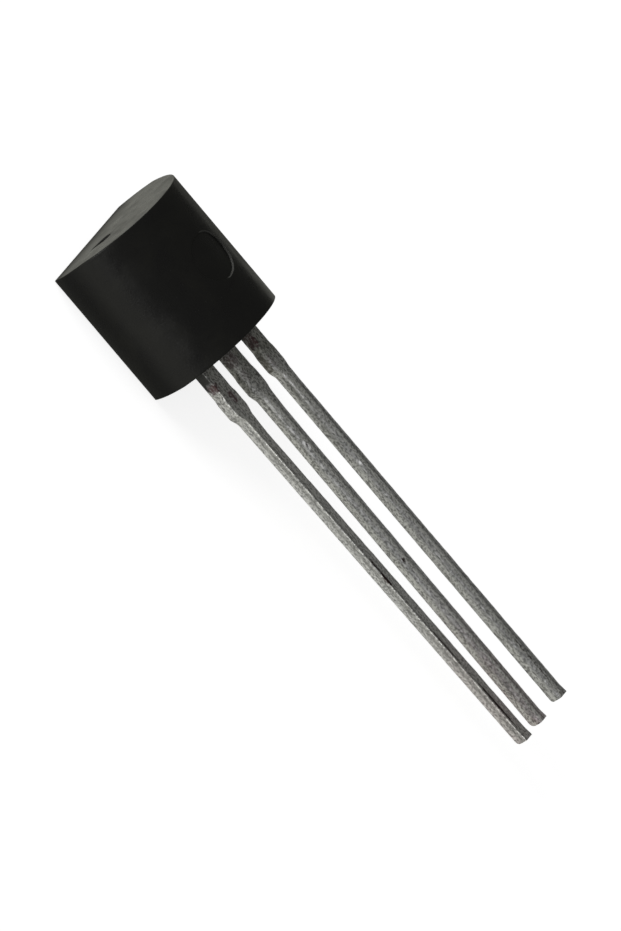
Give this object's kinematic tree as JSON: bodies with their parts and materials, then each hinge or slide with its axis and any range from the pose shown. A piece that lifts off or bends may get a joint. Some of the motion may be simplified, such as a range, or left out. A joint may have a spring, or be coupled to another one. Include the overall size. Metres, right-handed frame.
{
  "type": "voltage reference chip",
  "caption": "Voltage reference in a small black moulded body with a flat front and round back, and tinned leads in a row for soldering through a circuit board.",
  "frame": {"origin": "middle of the flat face that the part lies on, half way along the moulded body", "axes": "+X along the leads, from the body towards their tips; +Y across the row of leads; +Z from the flat towards the round back"},
  "size_m": [0.0194, 0.0048, 0.0035],
  "materials": {
    "moulded_body": "satin",
    "lead_frame": "satin",
    "die_attach": "matte",
    "silicon_die": "polished",
    "bond_wire": "polished"
  },
  "bodies": {
    "root": {"moulded_body": "moulded_body", "left_lead": "lead_frame", "centre_lead": "lead_frame", "right_lead": "lead_frame", "die_attach": "die_attach", "silicon_die": "silicon_die", "left_bond_wire": "bond_wire", "right_bond_wire": "bond_wire", "ground_bond_wire": "bond_wire"}
  },
  "joints": []
}
